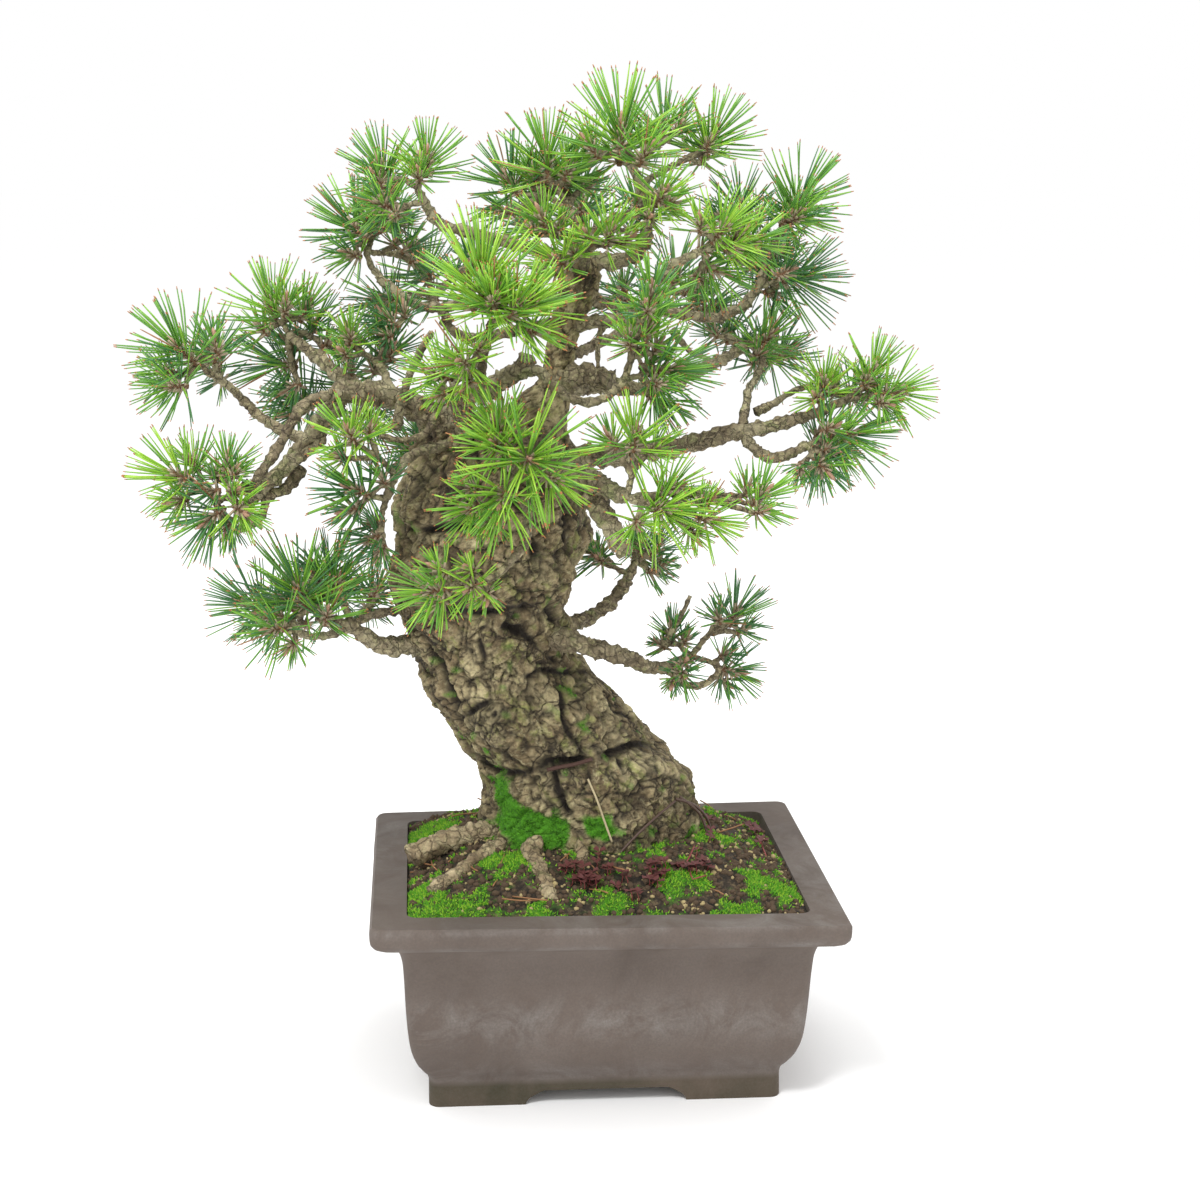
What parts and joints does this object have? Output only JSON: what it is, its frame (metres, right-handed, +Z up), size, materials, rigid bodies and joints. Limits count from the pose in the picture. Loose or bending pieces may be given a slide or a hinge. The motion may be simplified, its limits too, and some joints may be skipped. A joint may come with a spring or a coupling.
{
  "type": "potted japanese black pine bonsai",
  "caption": "Leaning black pine bonsai with a thick plated trunk, open needle sprays and surface roots, in a rectangular clay pot.",
  "frame": {"origin": "middle of the underside of the whole plant's bounding box, on the ground under the pot's feet", "axes": "+Z up the tree, +X to the viewer's right, the viewer looks along +Y at the front"},
  "size_m": [0.502, 0.3254, 0.6408],
  "materials": {
    "clay": "unglazed, matt, with pale lime bloom",
    "soil": "moist grains under moss",
    "bark": "rough plated bark with lichen",
    "root_bark": "cracked root bark",
    "twig_bark": "scaly bark",
    "needles": "satin needles"
  },
  "bodies": {
    "root": {"pot": "clay", "soil": "soil", "trunk": "bark", "root_left_cut": "root_bark", "root_left_front": "root_bark", "root_front": "root_bark", "root_front_stub": "root_bark", "bough_left_main": "twig_bark", "bough_left_fore": "twig_bark", "bough_left_upper": "twig_bark", "bough_left_top": "twig_bark", "bough_low_left": "twig_bark", "bough_upper_left": "twig_bark", "bough_upper_left_outer": "twig_bark", "bough_back_left": "twig_bark", "bough_front_sawn": "twig_bark", "bough_right_stub": "twig_bark", "bough_right_up": "twig_bark", "bough_right_back": "twig_bark", "bough_right_back_low": "twig_bark", "bough_right_main": "twig_bark", "bough_front_right": "twig_bark", "bough_front_right_stub": "twig_bark", "bough_low_back": "twig_bark", "bough_low_right": "twig_bark", "bough_apex": "twig_bark", "bough_back_low": "twig_bark", "bough_back_middle": "twig_bark", "needles_left_tip": "needles", "needles_left_outer": "needles", "needles_left_top": "needles", "needles_left_back": "needles", "needles_left_inner": "needles", "needles_left_front": "needles", "needles_low_left": "needles", "needles_low_left_tip": "needles", "needles_upper_left_outer": "needles", "needles_upper_left": "needles", "needles_front_upper": "needles", "needles_front_curl": "needles", "needles_crown_left": "needles", "needles_crown_top": "needles", "needles_crown_front": "needles", "needles_right_top": "needles", "needles_right_front": "needles", "needles_right_middle": "needles", "needles_right_tip": "needles", "needles_right_under": "needles", "needles_front_right": "needles", "needles_front_centre": "needles", "needles_front_low": "needles", "needles_low_right": "needles", "needles_low_back": "needles", "needles_back_low": "needles", "needles_back_middle": "needles", "needles_back_left": "needles", "needles_back_top": "needles", "needles_back_right": "needles"}
  },
  "joints": []
}
